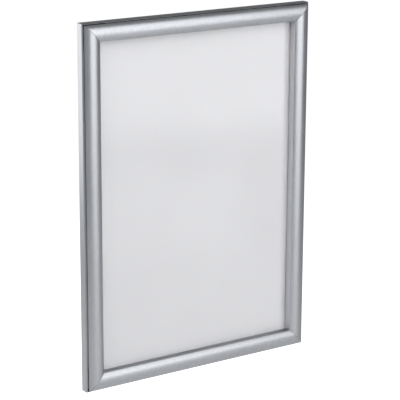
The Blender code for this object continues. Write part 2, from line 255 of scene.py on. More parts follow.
def baseOutline():
    p = baseProfile
    ribInside = p["ribOutside"] + p["rib"]
    ribTop = p["web"] + p["ribRise"]
    hookEdge = p["ribOutside"] - p["hookReach"]
    neck, room = neckAngles()
    socketEnd = neck - room + 360
    drop = math.sqrt(p["barrelRadius"] ** 2 - (p["wall"] - hingePoint[0]) ** 2)
    wallTop = bearing(hingePoint, (p["wall"], hingePoint[1] - drop)) + 360
    corners = [
        ((0, 0), p["plainRound"]),
        ((p["webEnd"], 0), p["plainRound"]),
        ((p["webEnd"], p["web"]), p["webRound"]),
        ((ribInside, p["web"]), p["plainRound"]),
        ((ribInside, ribTop), p["plainRound"]),
        ((hookEdge, ribTop), p["plainRound"]),
        ((hookEdge, ribTop - p["hook"]), p["noseRound"]),
        ((p["ribOutside"], ribTop - p["hook"]), p["hookRound"]),
        ((p["ribOutside"], p["web"]), p["grooveRound"]),
        ((p["wall"], p["web"]), p["wallRound"]),
    ]
    corners += sharp(arc(hingePoint, p["barrelRadius"], wallTop, socketEnd))
    corners += sharp(arc(hingePoint, p["socketRadius"], socketEnd, p["barrelStop"]))
    corners += [(polar(hingePoint, p["barrelRadius"], p["barrelStop"]), p["mouthRound"])]
    corners += sharp(arc(hingePoint, p["barrelRadius"], p["barrelStop"], 180)[1:])
    return rounded(corners)


def coverOutline():
    p = coverProfile
    heelEnd, toeTop = heelAngles()
    neck, _ = neckAngles()
    centre = ((hingePoint[0] + rail["width"]) / 2, p["crest"] - p["domeRadius"])
    inside = p["domeRadius"] - p["shell"]

    def onCircle(radius, across):
        return (across, centre[1] + math.sqrt(radius ** 2 - (across - centre[0]) ** 2))

    lipTop = onCircle(p["domeRadius"], rail["width"])
    lipRoot = onCircle(inside, rail["width"] - p["lip"])
    outerTop = rayToCircle(hingePoint, p["edge"], centre, p["domeRadius"])
    heelTop = circlesMeet(hingePoint, p["heelOutside"], centre, inside)
    footInside = rail["width"] - p["lipDraft"]
    foot = sheetFront + p["footRise"]
    atHinge = (hingePoint[1] - foot) / (lipTop[1] - foot)
    neckAtHeel = math.degrees(math.asin(p["neck"] / 2 / p["heelInside"]))
    neckAtBead = math.degrees(math.asin(p["neck"] / 2 / p["beadRadius"]))

    dome = arc(centre, p["domeRadius"], bearing(centre, lipTop), bearing(centre, outerTop),
               p["domeStep"])
    under = arc(centre, inside, bearing(centre, heelTop), bearing(centre, lipRoot), p["underStep"])
    corners = [
        ((footInside, foot), p["plainRound"]),
        ((footInside + p["lipDraft"] * atHinge, hingePoint[1]), 0),
        (dome[0], p["lipRound"]),
    ]
    corners += sharp(dome[1:-1])
    corners += [(dome[-1], p["outerRound"])]
    corners += sharp(arc(hingePoint, p["heelInside"], p["edge"], neck + neckAtHeel))
    corners += sharp(arc(hingePoint, p["beadRadius"], neck + neckAtBead, neck - neckAtBead + 360))
    corners += sharp(arc(hingePoint, p["heelInside"], neck - neckAtHeel, heelEnd))
    corners += [
        (polar(hingePoint, p["heelOutside"] + p["toeReach"], heelEnd), p["plainRound"]),
        (polar(hingePoint, p["heelOutside"] + p["toeReach"], toeTop), p["plainRound"]),
    ]
    corners += sharp(arc(hingePoint, p["heelOutside"], toeTop, bearing(hingePoint, heelTop)))
    corners += sharp(under[1:])
    corners += [
        ((footInside - p["lip"], hingePoint[1]), 0),
        ((footInside - p["lip"], foot), p["plainRound"]),
    ]
    return rounded(corners)


# Geometry node trees

sweepSockets = {
    "Section": "NodeSocketGeometry",
    "Length": "NodeSocketFloat",
    "Gap": "NodeSocketFloat",
    "Hinge Rise": "NodeSocketFloat",
    "Back Cut": "NodeSocketFloat",
}
railSockets = {
    **sweepSockets,
    "Finish": "NodeSocketMaterial",
    "Cut Finish": "NodeSocketMaterial",
}


def mitredSweep():
    # a section face swept along X, with each end moved onto its mitre
    tree, given, result = newTree("mitredSweep", "GeometryNodeTree", sweepSockets,
                                  {"Bar": "NodeSocketGeometry"})
    pulled = addNode(tree, "GeometryNodeExtrudeMesh", {
        "Mesh": given["Section"], "Offset": (1.0, 0.0, 0.0), "Offset Scale": given["Length"],
        "Individual": False})
    turned = addNode(tree, "GeometryNodeFlipFaces", {"Mesh": given["Section"]})
    both = addNode(tree, "GeometryNodeJoinGeometry",
                   {"Geometry": [pulled.outputs["Mesh"], turned.outputs[0]]})
    closed = addNode(tree, "GeometryNodeMergeByDistance",
                     {"Geometry": both.outputs[0], "Distance": rail["weld"]})
    place = addNode(tree, "ShaderNodeSeparateXYZ",
                    {"Vector": addNode(tree, "GeometryNodeInputPosition").outputs[0]})
    x, across, out = place.outputs
    half = calc(tree, "MULTIPLY", given["Length"], 0.5)
    side = calc(tree, "SIGN", calc(tree, "SUBTRACT", x, half))
    behind = calc(tree, "MAXIMUM", calc(tree, "SUBTRACT", given["Hinge Rise"], out), 0.0)
    taken = calc(tree, "MULTIPLY", behind, calc(tree, "TANGENT", given["Back Cut"]))
    shift = calc(tree, "DIVIDE", given["Gap"], math.sqrt(2))
    reach = half
    for loss in (across, shift, taken):
        reach = calc(tree, "SUBTRACT", reach, loss)
    target = addNode(tree, "ShaderNodeCombineXYZ",
                     {"X": calc(tree, "MULTIPLY", side, reach), "Y": across, "Z": out})
    moved = addNode(tree, "GeometryNodeSetPosition",
                    {"Geometry": closed.outputs[0], "Position": target.outputs[0]})
    tree.links.new(moved.outputs[0], result["Bar"])
    return tree


def finishEnds(tree, bar, given):
    # anodised all over, with bare metal where the saw went through
    facing = addNode(tree, "ShaderNodeSeparateXYZ",
                     {"Vector": addNode(tree, "GeometryNodeInputNormal").outputs[0]})
    cut = calc(tree, "GREATER_THAN", calc(tree, "ABSOLUTE", facing.outputs[0]), rail["sawnFacing"])
    solid = addNode(tree, "GeometryNodeRealizeInstances", {"Geometry": bar}).outputs[0]
    coated = addNode(tree, "GeometryNodeSetMaterial",
                     {"Geometry": solid, "Material": given["Finish"]})
    bared = addNode(tree, "GeometryNodeSetMaterial", {
        "Geometry": coated.outputs[0], "Selection": cut, "Material": given["Cut Finish"]})
    return bared.outputs[0]


def sweptBar(tree, sweep, given):
    return addNode(tree, "GeometryNodeGroup", {name: given[name] for name in sweepSockets},
                   node_tree=sweep).outputs[0]


def bothEnds(tree, shape, distance):
    # two copies of a shape, at plus and minus a distance along the rail
    start = addNode(tree, "ShaderNodeCombineXYZ", {"X": calc(tree, "MULTIPLY", distance, -1.0)})
    step = addNode(tree, "ShaderNodeCombineXYZ", {"X": calc(tree, "MULTIPLY", distance, 2.0)})
    line = addNode(tree, "GeometryNodeMeshLine", {
        "Count": 2, "Start Location": start.outputs[0], "Offset": step.outputs[0]})
    copies = addNode(tree, "GeometryNodeInstanceOnPoints",
                     {"Points": line.outputs[0], "Instance": shape})
    return addNode(tree, "GeometryNodeRealizeInstances", {"Geometry": copies.outputs[0]}).outputs[0]


def baseRailTree(sweep):
    # a base rail with a countersunk screw hole near each end
    tree, given, result = newTree("baseRail", "GeometryNodeTree", {
        **railSockets, "Hole Place": "NodeSocketVector", "Hole Setback": "NodeSocketFloat",
        "Hole Radius": "NodeSocketFloat", "Head Radius": "NodeSocketFloat",
        "Land": "NodeSocketFloat", "Web": "NodeSocketFloat",
    }, {"Rail": "NodeSocketGeometry"})
    sides, overrun = rail["drillSides"], rail["overrun"]
    drill = addNode(tree, "GeometryNodeMeshCylinder",
                    {"Vertices": sides, "Radius": given["Hole Radius"], "Depth": 2 * overrun})
    sink = addNode(tree, "GeometryNodeMeshCone", {
        "Vertices": sides, "Radius Bottom": given["Hole Radius"], "Radius Top": given["Head Radius"],
        "Depth": calc(tree, "SUBTRACT", given["Web"], given["Land"])})
    sinkPlace = addNode(tree, "ShaderNodeCombineXYZ", {"Z": given["Land"]})
    sunk = addNode(tree, "GeometryNodeTransform",
                   {"Geometry": sink.outputs[0], "Translation": sinkPlace.outputs[0]})
    clear = addNode(tree, "GeometryNodeMeshCylinder",
                    {"Vertices": sides, "Radius": given["Head Radius"], "Depth": overrun})
    lift = addNode(tree, "ShaderNodeCombineXYZ",
                   {"Z": calc(tree, "ADD", given["Web"], overrun / 2)})
    lifted = addNode(tree, "GeometryNodeTransform",
                     {"Geometry": clear.outputs[0], "Translation": lift.outputs[0]})
    cutter = addNode(tree, "GeometryNodeMeshBoolean", {
        "Mesh 2": [drill.outputs[0], sunk.outputs[0], lifted.outputs[0]]},
        operation="UNION", solver="EXACT")
    placed = addNode(tree, "GeometryNodeTransform",
                     {"Geometry": cutter.outputs[0], "Translation": given["Hole Place"]})
    distance = calc(tree, "SUBTRACT", calc(tree, "MULTIPLY", given["Length"], 0.5),
                    given["Hole Setback"])
    holes = bothEnds(tree, placed.outputs[0], distance)
    drilled = addNode(tree, "GeometryNodeMeshBoolean",
                      {"Mesh 1": sweptBar(tree, sweep, given), "Mesh 2": holes},
                      operation="DIFFERENCE", solver="EXACT")
    tree.links.new(finishEnds(tree, drilled.outputs[0], given), result["Rail"])
    return tree


def coverRailTree(sweep):
    # a cover rail whose heel and bead are milled away next to the corners
    tree, given, result = newTree("coverRail", "GeometryNodeTree", {
        **railSockets, "Relief": "NodeSocketFloat", "Relief Size": "NodeSocketVector",
        "Relief Middle": "NodeSocketVector",
    }, {"Rail": "NodeSocketGeometry"})
    block = addNode(tree, "GeometryNodeMeshCube", {"Size": given["Relief Size"]})
    placed = addNode(tree, "GeometryNodeTransform",
                     {"Geometry": block.outputs[0], "Translation": given["Relief Middle"]})
    blockLength = addNode(tree, "ShaderNodeSeparateXYZ", {"Vector": given["Relief Size"]})
    inner = calc(tree, "SUBTRACT", calc(tree, "MULTIPLY", given["Length"], 0.5), given["Relief"])
    distance = calc(tree, "ADD", inner, calc(tree, "MULTIPLY", blockLength.outputs[0], 0.5))
    blocks = bothEnds(tree, placed.outputs[0], distance)
    milled = addNode(tree, "GeometryNodeMeshBoolean",
                     {"Mesh 1": sweptBar(tree, sweep, given), "Mesh 2": blocks},
                     operation="DIFFERENCE", solver="EXACT")
    tree.links.new(finishEnds(tree, milled.outputs[0], given), result["Rail"])
    return tree


def pairTree():
    # two copies of a shape set apart along the rail
    tree, given, result = newTree("pair", "GeometryNodeTree", {
        "Shape": "NodeSocketGeometry", "Distance": "NodeSocketFloat",
        "Finish": "NodeSocketMaterial",
    }, {"Pair": "NodeSocketGeometry"})
    both = bothEnds(tree, given["Shape"], given["Distance"])
    coated = addNode(tree, "GeometryNodeSetMaterial",
                     {"Geometry": both, "Material": given["Finish"]})
    tree.links.new(coated.outputs[0], result["Pair"])
    return tree


# Turning trees and meshes into finished pieces

def meshOf(bm, name):
    mesh = bpy.data.meshes.new(name)
    bm.to_mesh(mesh)
    bm.free()
    return mesh


def newObject(name, mesh):
    made = bpy.data.objects.new(name, mesh)
    bpy.context.scene.collection.objects.link(made)
    return made


def settle(piece):
    # the evaluated mesh becomes the piece's own, and its modifiers go
    bpy.context.view_layer.update()
    solid = piece.evaluated_get(bpy.context.evaluated_depsgraph_get())
    mesh = bpy.data.meshes.new_from_object(solid)
    piece.modifiers.clear()
    piece.data = mesh
    return piece


def grow(name, mesh, tree, values):
    piece = newObject(name, mesh)
    modifier = piece.modifiers.new("build", "NODES")
    modifier.node_group = tree
    for item in tree.interface.items_tree:
        if item.item_type == "SOCKET" and item.in_out == "INPUT" and item.name in values:
            modifier[item.identifier] = values[item.name]
    return settle(piece)


def breakEdges(piece, width, angle=40, segments=2):
    bevel = piece.modifiers.new("edges", "BEVEL")
    bevel.width = width
    bevel.segments = segments
    bevel.limit_method = "ANGLE"
    bevel.angle_limit = math.radians(angle)
    return settle(piece)


def smoothFaces(piece, angle=38):
    piece.data.shade_smooth()
    piece.data.set_sharp_from_angle(angle=math.radians(angle))
    weighted = piece.modifiers.new("shading", "WEIGHTED_NORMAL")
    weighted.keep_sharp = True
    return settle(piece)


def sectionMesh(name, outline):
    # the section as one face that looks along X
    bm = bmesh.new()
    face = bm.faces.new([bm.verts.new((0, across, out)) for across, out in outline])
    face.normal_update()
    if face.normal.x < 0:
        bmesh.ops.reverse_faces(bm, faces=[face])
    return meshOf(bm, name)


# Where the rails lie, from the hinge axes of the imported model

inwards = {
    "Top": Vector((0, 0, -1)),
    "Bottom": Vector((0, 0, 1)),
    "Left": Vector((1, 0, 0)),
    "Right": Vector((-1, 0, 0)),
}
outwards = Vector((0, -1, 0))
frameWidth = (hinges["right_cover"] - hinges["left_cover"]).length + 2 * hingePoint[0]
frameHeight = (hinges["top_cover"] - hinges["bottom_cover"]).length + 2 * hingePoint[0]
frameMiddle = Vector((0, 0, hinges["left_cover"].z))


def railLength(side):
    return frameWidth if side in ("Top", "Bottom") else frameHeight


def railPlace(side):
    # X along the rail, Y towards the middle of the frame, Z out from the wall
    inward = inwards[side]
    start = hinges[side.lower() + "_cover"].copy()
    start.y = 0
    turn = Matrix((inward.cross(outwards), inward, outwards)).transposed().to_4x4()
    return Matrix.Translation(start - inward * hingePoint[0]) @ turn


# Shared shader groups

def streakGroup():
    # fine lines drawn out along X
    tree, given, result = newTree("drawnLines", "ShaderNodeTree", {
        "Vector": "NodeSocketVector", "Across": "NodeSocketFloat", "Along": "NodeSocketFloat",
    }, {"Lines": "NodeSocketFloat"})
    stretch = addNode(tree, "ShaderNodeCombineXYZ",
                      {"X": given["Along"], "Y": given["Across"], "Z": given["Across"]})
    spread = addNode(tree, "ShaderNodeVectorMath",
                     {"Vector": given["Vector"], "Vector_001": stretch.outputs[0]},
                     operation="MULTIPLY")
    tree.links.new(noise(tree, spread.outputs[0], 1.0, 5.0, Roughness=0.65), result["Lines"])
    return tree


def cloudGroup():
    # soft blotches, such as handling marks or uneven coating
    tree, given, result = newTree("softBlotches", "ShaderNodeTree", {
        "Vector": "NodeSocketVector", "Scale": "NodeSocketFloat", "Low": "NodeSocketFloat",
        "High": "NodeSocketFloat",
    }, {"Blotch": "NodeSocketFloat"})
    cloud = noise(tree, given["Vector"], given["Scale"], 4.0, Roughness=0.55, Distortion=0.6)
    spread = addNode(tree, "ShaderNodeMapRange", {
        "Value": cloud, "From Min": given["Low"], "From Max": given["High"]},
        interpolation_type="SMOOTHSTEP")
    tree.links.new(spread.outputs[0], result["Blotch"])
    return tree


wearAndPaintedLightMarks = {
    "raggedScale": 900.0,           # breaks in the worn line
    "raggedLow": 0.5,
    "patchScale": 500.0,            # patches in the hinges' dirt and painted shade
    "patches": (0.75, 1.05),
    "fullShare": 0.8,               # the hinges' dirt and painted shade thin from this share of its reach
    "lipSkin": 0.4 * mm,            # what counts as the lip's inner face
    "lipFade": 0.5 * mm,
}
frameSockets = {
    "Vector": "NodeSocketVector",
    "Half Width": "NodeSocketFloat",
    "Half Height": "NodeSocketFloat",
    "Middle": "NodeSocketFloat",
}


def fromEdges(tree, given):
    # how far a point lies in from the frame's side and from its top or bottom, and its Y
    place = addNode(tree, "ShaderNodeSeparateXYZ", {"Vector": given["Vector"]}).outputs
    fromSide = calc(tree, "SUBTRACT", given["Half Width"], calc(tree, "ABSOLUTE", place[0]))
    height = calc(tree, "ABSOLUTE", calc(tree, "SUBTRACT", place[2], given["Middle"]))
    fromTop = calc(tree, "SUBTRACT", given["Half Height"], height)
    return fromSide, fromTop, place[1]


def mitreWearGroup():
    # a thin broken line of worn coating along the four mitres, from Object coordinates
    tree, given, result = newTree("mitreWear", "ShaderNodeTree", {
        **frameSockets, "Reach": "NodeSocketFloat"}, {"Wear": "NodeSocketFloat"})
    fromSide, fromTop, _ = fromEdges(tree, given)
    gap = calc(tree, "ABSOLUTE", calc(tree, "SUBTRACT", fromSide, fromTop))
    ragged = noise(tree, given["Vector"], wearAndPaintedLightMarks["raggedScale"], 3.0)
    reach = calc(tree, "MULTIPLY", given["Reach"],
                 calc(tree, "ADD", ragged, wearAndPaintedLightMarks["raggedLow"]))
    near = addNode(tree, "ShaderNodeMapRange", {
        "Value": gap, "From Min": 0.0, "From Max": reach, "To Min": 1.0, "To Max": 0.0},
        interpolation_type="SMOOTHSTEP")
    tree.links.new(near.outputs[0], result["Wear"])
    return tree


def hingeDirtAndShadeGroup():
    # dirt, old oil and painted shade in the open mouth of each hinge, close round its axis
    tree, given, result = newTree("hingeDirtAndShade", "ShaderNodeTree", {
        **frameSockets, "Inset": "NodeSocketFloat", "Rise": "NodeSocketFloat",
        "Reach": "NodeSocketFloat",
    }, {"Dirt And Shade": "NodeSocketFloat"})
    fromSide, fromTop, y = fromEdges(tree, given)
    across = calc(tree, "SUBTRACT", calc(tree, "MINIMUM", fromSide, fromTop), given["Inset"])
    out = calc(tree, "ADD", y, given["Rise"])
    distance = calc(tree, "SQRT", calc(tree, "ADD", calc(tree, "MULTIPLY", across, across),
                                       calc(tree, "MULTIPLY", out, out)))
    near = addNode(tree, "ShaderNodeMapRange", {
        "Value": distance,
        "From Min": calc(tree, "MULTIPLY", given["Reach"], wearAndPaintedLightMarks["fullShare"]),
        "From Max": given["Reach"], "To Min": 1.0, "To Max": 0.0}, interpolation_type="SMOOTHSTEP")
    patchy = noise(tree, given["Vector"], wearAndPaintedLightMarks["patchScale"], 3.0)
    amount = calc(tree, "MULTIPLY", near.outputs[0], remap(tree, patchy, *wearAndPaintedLightMarks["patches"]))
    tree.links.new(amount, result["Dirt And Shade"])
    return tree


def lipFaceGroup():
    # the inner face of each cover's lip: the mask for the painted highlight on the upright lips and
    # the painted shade on the bottom lip
    tree, given, result = newTree("lipFace", "ShaderNodeTree", {
        **frameSockets, "Rail Width": "NodeSocketFloat", "Lip Top": "NodeSocketFloat",
    }, {"Mask": "NodeSocketFloat"})
    fromSide, fromTop, y = fromEdges(tree, given)
    left = calc(tree, "SUBTRACT", given["Rail Width"], calc(tree, "MINIMUM", fromSide, fromTop))
    inner = calc(tree, "LESS_THAN", left, wearAndPaintedLightMarks["lipSkin"])
    below = addNode(tree, "ShaderNodeMapRange", {
        "Value": calc(tree, "MULTIPLY", y, -1.0),
        "From Min": calc(tree, "SUBTRACT", given["Lip Top"], wearAndPaintedLightMarks["lipFade"]),
        "From Max": given["Lip Top"], "To Min": 1.0, "To Max": 0.0})
    tree.links.new(calc(tree, "MULTIPLY", inner, below.outputs[0]), result["Mask"])
    return tree


def chooseShader(tree, factor, usual, other, output):
    # the other shader is used where the factor is 1
    mixed = addNode(tree, "ShaderNodeMixShader", {"Fac": factor})
    tree.links.new(usual, mixed.inputs[1])
    tree.links.new(other, mixed.inputs[2])
    tree.links.new(mixed.outputs[0], tree.nodes[output].inputs["Surface"])


def newMaterial(name):
    made = bpy.data.materials.new(name)
    made.use_nodes = True
    tree = made.node_tree
    shader = tree.nodes["Principled BSDF"]
    place = tree.nodes.new("ShaderNodeTexCoord").outputs["Object"]
    return made, tree, shader, place


def group(tree, groupTree, **inputs):
    named = {name.replace("_", " "): value for name, value in inputs.items()}
    return addNode(tree, "ShaderNodeGroup", named, node_tree=groupTree).outputs[0]


def linesAlong(tree, place, width, length):
    return group(tree, drawnLines, Vector=place, Across=1 / width, Along=1 / length)


def remap(tree, value, low, high):
    return addNode(tree, "ShaderNodeMapRange",
                   {"Value": value, "To Min": low, "To Max": high}).outputs[0]


def blendColour(tree, factor, first, second):
    mixed = addNode(tree, "ShaderNodeMix", {
        "Factor_Float": factor, "A_Color": first, "B_Color": second}, data_type="RGBA")
    return socketOf(mixed.outputs, "Result_Color")


def shaded(colour, share):
    return tuple(part * share for part in colour[:3]) + (1,)


def bump(tree, height, strength, distance, normal=None):
    inputs = {"Height": height, "Strength": strength, "Distance": distance}
    if normal:
        inputs["Normal"] = normal
    return addNode(tree, "ShaderNodeBump", inputs).outputs[0]


def feed(tree, shader, **inputs):
    for name, value in inputs.items():
        socket = shader.inputs[name.replace("_", " ")]
        if isinstance(value, bpy.types.NodeSocket):
            tree.links.new(value, socket)
        else:
            socket.default_value = value


drawnLines = streakGroup()
softBlotches = cloudGroup()
mitreWear = mitreWearGroup()
hingeDirtAndShade = hingeDirtAndShadeGroup()
lipFace = lipFaceGroup()


# Finishes

anodised = {
    "colour": (0.482, 0.495, 0.522, 1),
    "paler": (0.540, 0.553, 0.578, 1),
    # bare metal at the mitre wear and the saw cuts, and also the colour of the painted highlight on
    # the upright lips
    "bare": (0.745, 0.755, 0.775, 1),
    "roughness": (0.30, 0.38),
    "lines": (0.25 * mm, 60 * mm),  # width and length of the lines that the die leaves
    "lineDepth": 0.004 * mm,
    "lineBump": 0.5,
    "lineShare": 0.7,               # of the colour's change; the clouds bring the rest
    "clouds": {"Scale": 14.0, "Low": 0.3, "High": 0.7},
    "cloudShare": 0.3,
    "cloudRough": 0.03,
    "mottle": (1.3 * mm, 3.5 * mm),     # width and length of the etched surface's patches
    "mottleLow": 0.3,
    "mottleHigh": 0.7,
    "levelMottle": 0.12,            # share by which they darken and brighten
    "uprightMottle": 0.05,
    "matteGrain": 0.55 * mm,
    "grainDepth": 0.03 * mm,
    "grainBump": 0.4,
    "wearReach": 0.45 * mm,
    # near black: the hinges' dirt and painted shade, and the painted shade on the bottom lip
    "dirtAndShadeColour": (0.05, 0.05, 0.05, 1),
    "hingeDirtShadeReach": 2.7 * mm,         # from the hinge axis, short of the barrel's outside
    "levelDirtAndShade": 0.85,             # dirt and painted shade, strong in the level hinges
    "uprightDirtAndShade": 0.10,
    "dirtAndShadeRough": 0.25,
    "lipTop": 14.2 * mm,            # out from the wall
    "lipPaintedHighlight": 0.9,                  # painted highlight on the upright lips' inner faces
    "lipPaintedShade": 0.42,                # painted shade on the inner face of the lip that faces up
}


def anodisedMetal(name, turn, level):
    # extruded, satin etched and anodised; turn brings the rail's direction onto X
    made, tree, shader, place = newMaterial(name)
    turned = addNode(tree, "ShaderNodeMapping", {"Vector": place, "Rotation": turn}).outputs[0]
    lines = linesAlong(tree, turned, *anodised["lines"])
    clouds = group(tree, softBlotches, Vector=place, **anodised["clouds"])
    onFrame = {"Vector": place, "Half_Width": frameWidth / 2, "Half_Height": frameHeight / 2,
               "Middle": frameMiddle.z}
    wearAndHighlight = group(tree, mitreWear, **onFrame, Reach=anodised["wearReach"])
    lip = group(tree, lipFace, **onFrame, Rail_Width=rail["width"], Lip_Top=anodised["lipTop"])
    grain = noise(tree, place, 1 / anodised["matteGrain"], 2.0)
    # dirt and painted shade darken the mouth of each hinge
    hingeDirtShade = group(tree, hingeDirtAndShade, **onFrame, Inset=hingePoint[0], Rise=hingePoint[1],
                 Reach=anodised["hingeDirtShadeReach"])
    if level:
        height = addNode(tree, "ShaderNodeSeparateXYZ", {"Vector": place}).outputs[2]
        # painted shade on the inner face of the bottom lip
        lying = calc(tree, "MULTIPLY", lip, calc(tree, "LESS_THAN", height, frameMiddle.z))
        dirtAndShade = calc(tree, "ADD", calc(tree, "MULTIPLY", hingeDirtShade, anodised["levelDirtAndShade"]),
                     calc(tree, "MULTIPLY", lying, anodised["lipPaintedShade"]))
    else:
        dirtAndShade = calc(tree, "MULTIPLY", hingeDirtShade, anodised["uprightDirtAndShade"])
        # painted highlight on the upright lips' inner faces, laid over the mitre wear
        wearAndHighlight = calc(tree, "MAXIMUM", wearAndHighlight, calc(tree, "MULTIPLY", lip, anodised["lipPaintedHighlight"]))
    mottled = addNode(tree, "ShaderNodeMapRange", {
        "Value": linesAlong(tree, turned, *anodised["mottle"]),
        "From Min": anodised["mottleLow"], "From Max": anodised["mottleHigh"]}).outputs[0]
    tone = calc(tree, "ADD", calc(tree, "MULTIPLY", lines, anodised["lineShare"]),
                calc(tree, "MULTIPLY", clouds, anodised["cloudShare"]))
    swing = anodised["levelMottle"] if level else anodised["uprightMottle"]
    darker, lighter = [
        blendColour(tree, tone, shaded(anodised["colour"], share), shaded(anodised["paler"], share))
        for share in (1 - swing, 1 + swing)]
    coated = blendColour(tree, mottled, darker, lighter)
    smooth = calc(tree, "ADD", remap(tree, lines, *anodised["roughness"]),
                  calc(tree, "MULTIPLY", clouds, anodised["cloudRough"]))
    rough = calc(tree, "ADD", smooth, calc(tree, "MULTIPLY", dirtAndShade, anodised["dirtAndShadeRough"]))
    wornAndHighlighted = blendColour(tree, wearAndHighlight, coated, anodised["bare"])
    relief = bump(tree, lines, anodised["lineBump"], anodised["lineDepth"],
                  bump(tree, grain, anodised["grainBump"], anodised["grainDepth"]))
    feed(tree, shader, Base_Color=blendColour(tree, dirtAndShade, wornAndHighlighted, anodised["dirtAndShadeColour"]),
         Metallic=1.0, Roughness=rough, Normal=relief)
    return made


sawn = {
    "colour": (0.50, 0.50, 0.50, 1),
    "roughness": (0.30, 0.48),
    "teeth": (0.12 * mm, 6 * mm),   # width and length
    "toothDepth": 0.01 * mm,
    "toothBump": 0.6,
}


def sawnMetal():
    made, tree, shader, place = newMaterial("sawnAluminium")
    teeth = linesAlong(tree, place, *sawn["teeth"])
    feed(tree, shader, Base_Color=blendColour(tree, teeth, sawn["colour"], anodised["bare"]),
         Metallic=1.0, Roughness=remap(tree, teeth, *sawn["roughness"]),
         Normal=bump(tree, teeth, sawn["toothBump"], sawn["toothDepth"]))
    return made


strip = {
    "colour": (0.25, 0.25, 0.26, 1),
    "paler": (0.36, 0.36, 0.37, 1),
    "tint": (0.27, 0.25, 0.23, 1),
    "tinting": {"Scale": 90.0, "Low": 0.35, "High": 0.7},
    "roughness": (0.24, 0.40),
    "lines": (0.2 * mm, 25 * mm),   # width and length
    "lineDepth": 0.004 * mm,
    "lineBump": 0.4,
}


def springMetal():
    made, tree, shader, place = newMaterial("springSteel")
    lines = linesAlong(tree, place, *strip["lines"])
    tint = group(tree, softBlotches, Vector=place, **strip["tinting"])
    bright = blendColour(tree, lines, strip["colour"], strip["paler"])
    feed(tree, shader, Base_Color=blendColour(tree, tint, bright, strip["tint"]),
         Metallic=1.0, Roughness=remap(tree, lines, *strip["roughness"]),
         Normal=bump(tree, lines, strip["lineBump"], strip["lineDepth"]))
    return made


zinc = {
    "colour": (0.42, 0.42, 0.40, 1),
    "paler": (0.56, 0.56, 0.54, 1),
    "flakeScale": 260.0,
    "flakeDepth": 0.01 * mm,
    "flakeBump": 0.2,
    "stain": (0.46, 0.45, 0.40, 1),
    "staining": {"Scale": 60.0, "Low": 0.4, "High": 0.75},
    "roughness": (0.32, 0.50),
}


def zincPlate():
    made, tree, shader, place = newMaterial("zincPlate")
    flakes = addNode(tree, "ShaderNodeTexVoronoi", {"Vector": place, "Scale": zinc["flakeScale"]})
    flake = addNode(tree, "ShaderNodeSeparateColor", {"Color": flakes.outputs["Color"]}).outputs[0]
    stain = group(tree, softBlotches, Vector=place, **zinc["staining"])
    plated = blendColour(tree, flake, zinc["colour"], zinc["paler"])
    feed(tree, shader, Base_Color=blendColour(tree, stain, plated, zinc["stain"]),
         Metallic=1.0, Roughness=remap(tree, flake, *zinc["roughness"]),
         Normal=bump(tree, flake, zinc["flakeBump"], zinc["flakeDepth"]))
    return made


styrene = {
    "colour": (0.80, 0.80, 0.79, 1),
    "scuffed": (0.775, 0.775, 0.762, 1),
    "scuffs": {"Scale": 9.0, "Low": 0.40, "High": 0.85},
    "roughness": (0.48, 0.62),
    "pore": 0.5 * mm,
    "poreDepth": 0.02 * mm,
    "poreBump": 0.3,
}


def whiteStyrene():
    made, tree, shader, place = newMaterial("whiteStyrene")
    scuff = group(tree, softBlotches, Vector=place, **styrene["scuffs"])
    pores = noise(tree, place, 1 / styrene["pore"], 3.0)
    feed(tree, shader, Base_Color=blendColour(tree, scuff, styrene["colour"], styrene["scuffed"]),
         Roughness=remap(tree, scuff, *styrene["roughness"]),
         Normal=bump(tree, pores, styrene["poreBump"], styrene["poreDepth"]))
    return made


paper = {
    "colour": (0.81, 0.80, 0.815, 1),
    "shaded": (0.79, 0.78, 0.795, 1),
    "shading": {"Scale": 5.0, "Low": 0.35, "High": 0.7},
    "speck": (0.66, 0.66, 0.67, 1),
    "speckShare": 0.05,
    "fibre": 0.35 * mm,
    "fibreDepth": 0.02 * mm,
    "fibreBump": 0.15,
    "roughness": (0.50, 0.60),
}


def posterPaper():
    made, tree, shader, place = newMaterial("posterPaper")
    fibres = noise(tree, place, 1 / paper["fibre"], 4.0, Roughness=0.7)
    shade = group(tree, softBlotches, Vector=place, **paper["shading"])
    pale = blendColour(tree, shade, paper["colour"], paper["shaded"])
    speck = calc(tree, "MULTIPLY", fibres, paper["speckShare"])
    feed(tree, shader, Base_Color=blendColour(tree, speck, pale, paper["speck"]),
         Roughness=remap(tree, fibres, *paper["roughness"]),
         Normal=bump(tree, fibres, paper["fibreBump"], paper["fibreDepth"]))
    return made


film = {
    "colour": (0.97, 0.975, 0.98, 1),
    "shadow": (0.93, 0.935, 0.94, 1),
    "index": 1.38,
    "roughness": (0.10, 0.14),      # between clean and smeared
    "smears": {"Scale": 16.0, "Low": 0.35, "High": 0.7},
    "waveScale": 7.0,
    "waveDepth": 0.04 * mm,
}


def clearFilm():
    # a flexible sheet that lies almost, but not quite, flat
    made, tree, shader, place = newMaterial("clearFilm")
    waves = noise(tree, place, film["waveScale"], 0.0)
    smears = group(tree, softBlotches, Vector=place, **film["smears"])
    feed(tree, shader, Base_Color=film["colour"], Transmission_Weight=1.0, IOR=film["index"],
         Metallic=0.0, Roughness=remap(tree, smears, *film["roughness"]),
         Normal=bump(tree, waves, 1.0, film["waveDepth"]))
    light = tree.nodes.new("ShaderNodeLightPath")
    clear = addNode(tree, "ShaderNodeBsdfTransparent", {"Color": film["shadow"]})
    chooseShader(tree, light.outputs["Is Shadow Ray"], shader.outputs[0], clear.outputs[0],
                 "Material Output")
    return made


levelMetal = anodisedMetal("anodisedLevel", (0, 0, 0), True)
uprightMetal = anodisedMetal("anodisedUpright", (0, math.radians(90), 0), False)
cutMetal = sawnMetal()
springSteel = springMetal()
plateSteel = zincPlate()
print("finishes made")


# Rails

screwHole = {
    "across": 6.9 * mm,
    "radius": 2.25 * mm,
    "headRadius": 3.2 * mm,
    "land": 0.4 * mm,
    "setback": 45 * mm,
}


